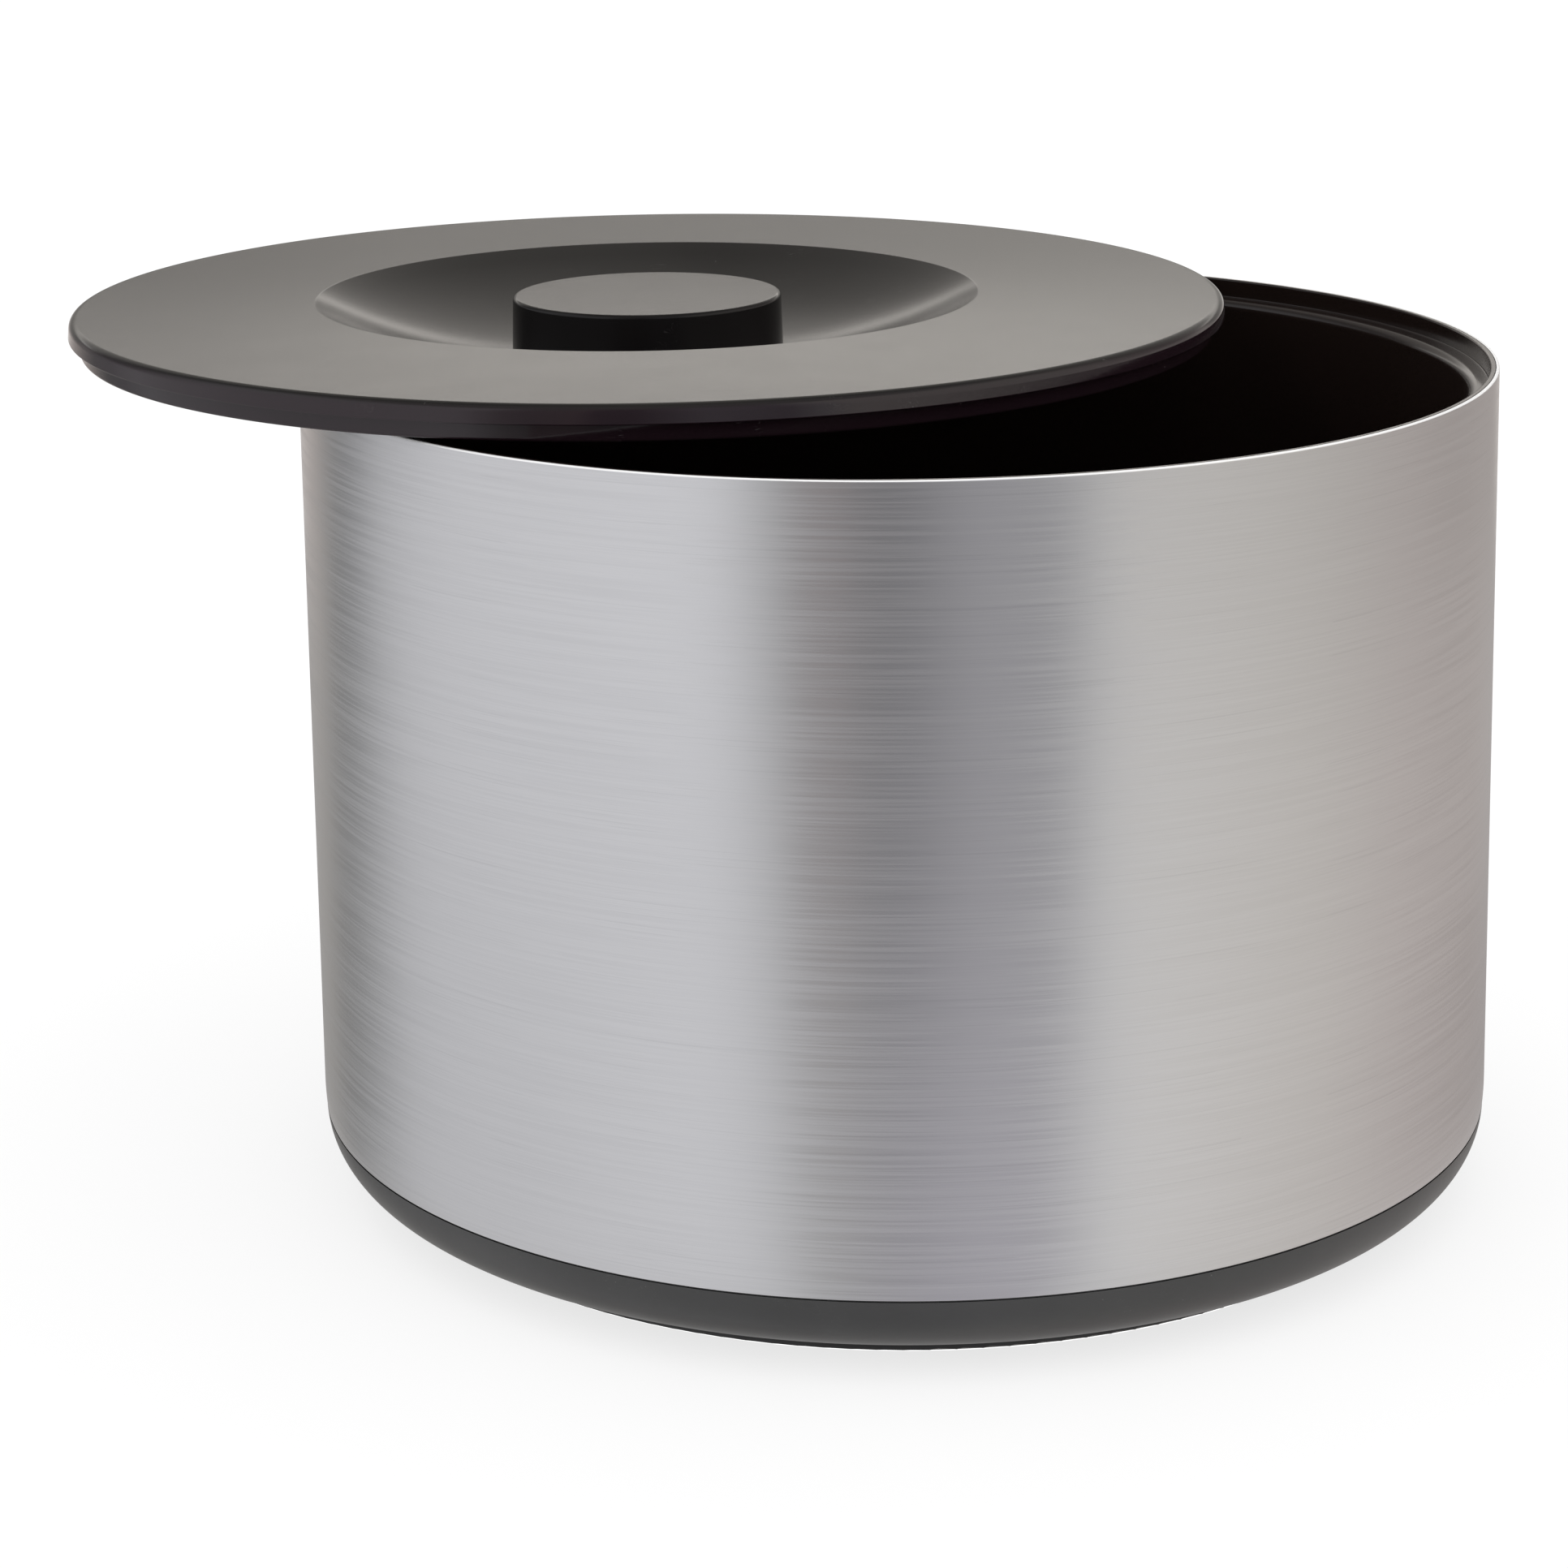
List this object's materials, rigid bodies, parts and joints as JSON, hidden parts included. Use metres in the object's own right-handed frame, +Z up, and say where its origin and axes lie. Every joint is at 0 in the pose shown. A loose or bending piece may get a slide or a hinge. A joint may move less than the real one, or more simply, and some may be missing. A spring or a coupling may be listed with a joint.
{
  "type": "ice bucket",
  "caption": "Round double-walled ice bucket with an aluminium sleeve, dark moulded liner and base, and a lift-off dished lid with a central knob.",
  "frame": {"origin": "centre of the flat underside of the base plate, on the bucket's axis", "axes": "+Z up along the bucket's axis; the parked lid is slid towards -X and a little towards +Y"},
  "size_m": [0.3506, 0.3262, 0.2139],
  "materials": {
    "sleeve_aluminium": "fine circumferential brushing, clear anodised",
    "liner_plastic": "glossy moulded",
    "base_plastic": "satin moulded",
    "lid_plastic": "satin top, glossy edge",
    "insulation_foam": "closed-cell foam",
    "fastener_steel": "plated",
    "insert_brass": "turned",
    "seal_rubber": "moulded"
  },
  "bodies": {
    "bucket": {"outer_sleeve": "sleeve_aluminium", "inner_liner": "liner_plastic", "base_shell": "base_plastic", "base_plate": "base_plastic", "base_screws": "fastener_steel", "wall_insulation": "insulation_foam", "floor_insulation": "insulation_foam"},
    "lid": {"lid_top": "lid_plastic", "lid_underside": "lid_plastic", "lid_insulation": "insulation_foam", "knob": "lid_plastic", "knob_insert": "insert_brass", "knob_seal": "seal_rubber", "knob_washer": "fastener_steel", "knob_screw": "fastener_steel", "lid_screw_cap": "lid_plastic"}
  },
  "joints": [
    {"name": "lid_lift", "type": "slide", "parent": "bucket", "child": "lid", "axis": [0, 0, 1], "range_m": [0, 0.045]}
  ]
}
